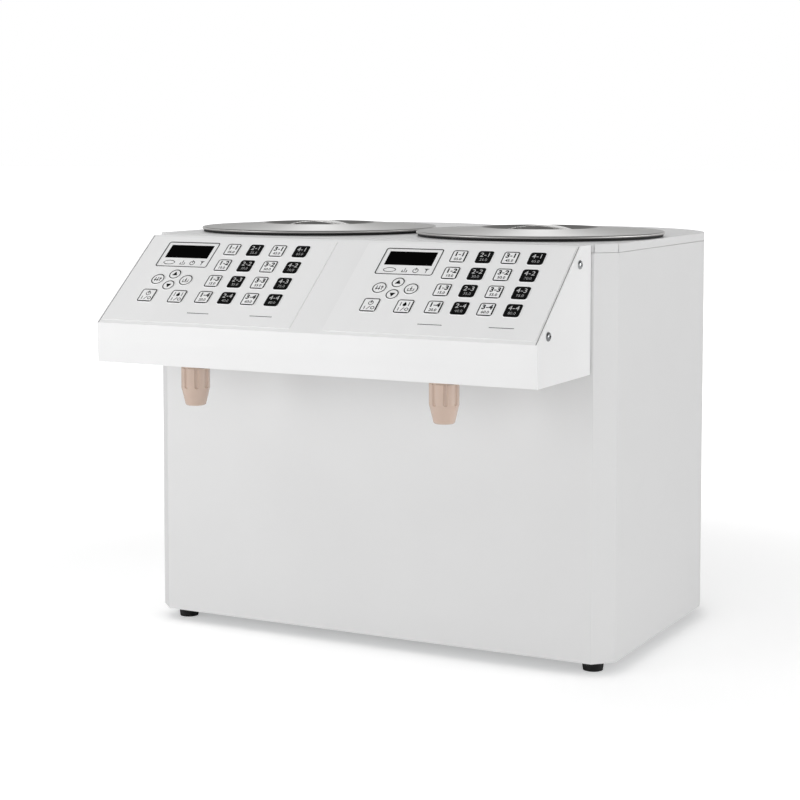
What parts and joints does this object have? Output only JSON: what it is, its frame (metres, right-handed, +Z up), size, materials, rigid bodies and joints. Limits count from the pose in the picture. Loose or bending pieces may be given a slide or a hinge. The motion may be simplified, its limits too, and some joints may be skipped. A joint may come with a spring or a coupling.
{
  "type": "syrup dispenser",
  "caption": "White countertop syrup dispenser with lidded stainless buckets let into its deck, an overhanging sloped keypad head and fluted screw-on nozzles.",
  "frame": {"origin": "middle of the bounding box at the level of the feet", "axes": "+X along the width, +Y from the control head to the rounded back, +Z up"},
  "size_m": [0.48, 0.473, 0.3928],
  "materials": {
    "white_paint": "fine satin white powder coat",
    "galvanised": "bright zinc-plated sheet",
    "keypad_film": "satin printed polyester film",
    "display_window": "tinted acrylic",
    "circuit_board": "solder mask",
    "stainless": "spun and brushed stainless",
    "brass": "machined",
    "steel": "turned and plated",
    "silicone_hose": "translucent white silicone",
    "motor_can": "dark plated can",
    "cream_plastic": "moulded, slightly glossy cream",
    "seal_rubber": "moulded",
    "psu_case": "folded aluminium",
    "black_plastic": "moulded",
    "foot_rubber": "moulded"
  },
  "bodies": {
    "cabinet": {"front_shell": "white_paint", "rear_shell": "white_paint", "base_plate": "galvanised", "deck_cover": "white_paint", "head_cover": "white_paint", "head_pan": "white_paint", "head_bracket_left": "galvanised", "head_bracket_right": "galvanised", "keypad_film_left": "keypad_film", "keypad_film_right": "keypad_film", "display_window_left": "display_window", "display_window_right": "display_window", "key_board_left": "circuit_board", "key_board_right": "circuit_board", "bucket_left": "stainless", "bucket_right": "stainless", "outlet_elbow_left": "brass", "outlet_elbow_right": "brass", "suction_hose_left": "silicone_hose", "suction_hose_right": "silicone_hose", "pump_body_left": "brass", "pump_body_right": "brass", "pump_cover_left": "brass", "pump_cover_right": "brass", "pump_motor_left": "motor_can", "pump_motor_right": "motor_can", "motor_bracket_left": "galvanised", "motor_bracket_right": "galvanised", "delivery_hose_left": "silicone_hose", "delivery_hose_right": "silicone_hose", "nozzle_socket_left": "cream_plastic", "nozzle_socket_right": "cream_plastic", "socket_nut_left": "cream_plastic", "socket_nut_right": "cream_plastic", "driver_board_left": "circuit_board", "driver_board_right": "circuit_board", "power_supply": "psu_case", "mains_inlet": "black_plastic", "rocker_frame": "black_plastic", "rubber_feet": "foot_rubber", "foot_screws": "steel", "cheek_screws": "steel", "base_screws": "steel"},
    "lid_left": {"lid_left": "stainless", "lid_handle_left": "stainless", "lid_seal_left": "seal_rubber"},
    "washer_left": {"nozzle_washer_left": "seal_rubber"},
    "nozzle_left": {"nozzle_left": "cream_plastic"},
    "drive_gear_left": {"drive_gear_left": "steel"},
    "idler_gear_left": {"idler_gear_left": "steel"},
    "lid_right": {"lid_right": "stainless", "lid_handle_right": "stainless", "lid_seal_right": "seal_rubber"},
    "washer_right": {"nozzle_washer_right": "seal_rubber"},
    "nozzle_right": {"nozzle_right": "cream_plastic"},
    "drive_gear_right": {"drive_gear_right": "steel"},
    "idler_gear_right": {"idler_gear_right": "steel"},
    "rocker": {"power_rocker": "black_plastic"}
  },
  "joints": [
    {"name": "lid_left_lift", "type": "slide", "parent": "cabinet", "child": "lid_left", "axis": [0, 0, 1], "range_m": [0, 0.12]},
    {"name": "nozzle_left_drop", "type": "slide", "parent": "cabinet", "child": "washer_left", "axis": [0, 0, -1], "range_m": [0, 0.00605]},
    {"name": "nozzle_left_unscrew", "type": "hinge", "parent": "washer_left", "child": "nozzle_left", "pos_m": [-0.1262, -0.2159, 0.246], "axis": [0, 0, -1], "range_deg": [0, 1080]},
    {"name": "drive_gear_left_spin", "type": "hinge", "parent": "cabinet", "child": "drive_gear_left", "pos_m": [-0.028, -0.0555, 0.061], "axis": [1, 0, 0], "continuous": true},
    {"name": "idler_gear_left_spin", "type": "hinge", "parent": "cabinet", "child": "idler_gear_left", "pos_m": [-0.028, -0.0555, 0.082], "axis": [1, 0, 0], "continuous": true},
    {"name": "lid_right_lift", "type": "slide", "parent": "cabinet", "child": "lid_right", "axis": [0, 0, 1], "range_m": [0, 0.12]},
    {"name": "nozzle_right_drop", "type": "slide", "parent": "cabinet", "child": "washer_right", "axis": [0, 0, -1], "range_m": [0, 0.00605]},
    {"name": "nozzle_right_unscrew", "type": "hinge", "parent": "washer_right", "child": "nozzle_right", "pos_m": [0.1262, -0.2159, 0.246], "axis": [0, 0, -1], "range_deg": [0, 1080]},
    {"name": "drive_gear_right_spin", "type": "hinge", "parent": "cabinet", "child": "drive_gear_right", "pos_m": [0.028, -0.0555, 0.061], "axis": [1, 0, 0], "continuous": true},
    {"name": "idler_gear_right_spin", "type": "hinge", "parent": "cabinet", "child": "idler_gear_right", "pos_m": [0.028, -0.0555, 0.082], "axis": [1, 0, 0], "continuous": true},
    {"name": "rocker_tilt", "type": "hinge", "parent": "cabinet", "child": "rocker", "pos_m": [0, 0.209, 0.107], "axis": [0, 0, -1], "range_deg": [0, 14]}
  ],
  "couplings": [
    {"joint": "nozzle_left_drop", "follows": "nozzle_left_unscrew", "m_per_rad": 0.00031831},
    {"joint": "idler_gear_left_spin", "follows": "drive_gear_left_spin", "ratio": -1},
    {"joint": "nozzle_right_drop", "follows": "nozzle_right_unscrew", "m_per_rad": 0.00031831},
    {"joint": "idler_gear_right_spin", "follows": "drive_gear_right_spin", "ratio": -1}
  ]
}
